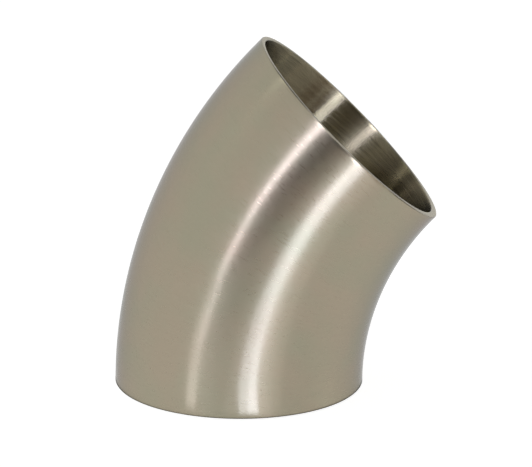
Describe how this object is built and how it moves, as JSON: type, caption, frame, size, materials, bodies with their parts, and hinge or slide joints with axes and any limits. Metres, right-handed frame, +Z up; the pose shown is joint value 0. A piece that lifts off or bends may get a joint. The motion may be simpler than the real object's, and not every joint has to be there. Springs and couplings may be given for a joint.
{
  "type": "tube elbow",
  "caption": "Short stainless steel tube elbow with a smooth 45 degree bend and square faced weld ends, brushed inside and out.",
  "frame": {"origin": "middle of the lower weld end, in the plane that the elbow stands on", "axes": "+Z up the tube from the lower end, +X towards the inside of the bend, which the upper end leans to, +Y across the tube, square to the plane of the bend"},
  "size_m": [0.0819, 0.0634, 0.0897],
  "materials": {
    "brushed_steel": "belt brushed around the tube, inside and out, with bright faced ends"
  },
  "bodies": {
    "root": {"elbow": "brushed_steel"}
  },
  "joints": []
}
